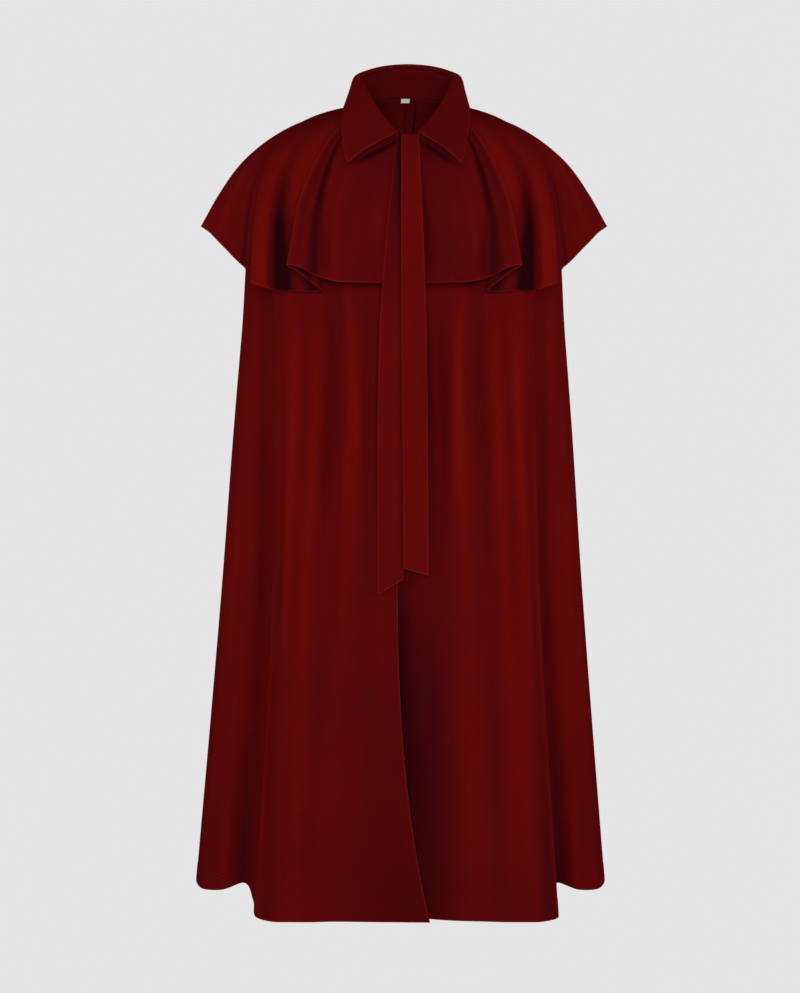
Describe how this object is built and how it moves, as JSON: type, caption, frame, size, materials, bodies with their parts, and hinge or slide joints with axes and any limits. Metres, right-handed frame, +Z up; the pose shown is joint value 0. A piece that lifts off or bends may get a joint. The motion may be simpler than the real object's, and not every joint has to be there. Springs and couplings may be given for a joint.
{
  "type": "tie-neck wool cape with shoulder capelet",
  "caption": "Long hollow cape with a turned-down collar, a fluted shoulder capelet, hanging neck ties and an open front, filled out as worn.",
  "frame": {"origin": "between the neck seam's two side points, where the wearer's neck and shoulders hold the cape", "axes": "+Z up along the wearer, -Y the way the garment faces, +X towards the wearer's left"},
  "size_m": [0.58, 0.383, 1.1768],
  "materials": {
    "wool": "smooth dark red wool crepe with a soft satin sheen",
    "label_tape": "plain pale woven tape"
  },
  "bodies": {
    "root": {"body_front_right": "wool", "body_front_left": "wool", "body_back_right": "wool", "body_back_left": "wool", "capelet_front_right": "wool", "capelet_front_left": "wool", "capelet_back_right": "wool", "capelet_back_left": "wool", "collar_stand": "wool", "collar_leaf": "wool", "tie_left": "wool", "tie_right": "wool", "neck_label": "label_tape"}
  },
  "joints": []
}
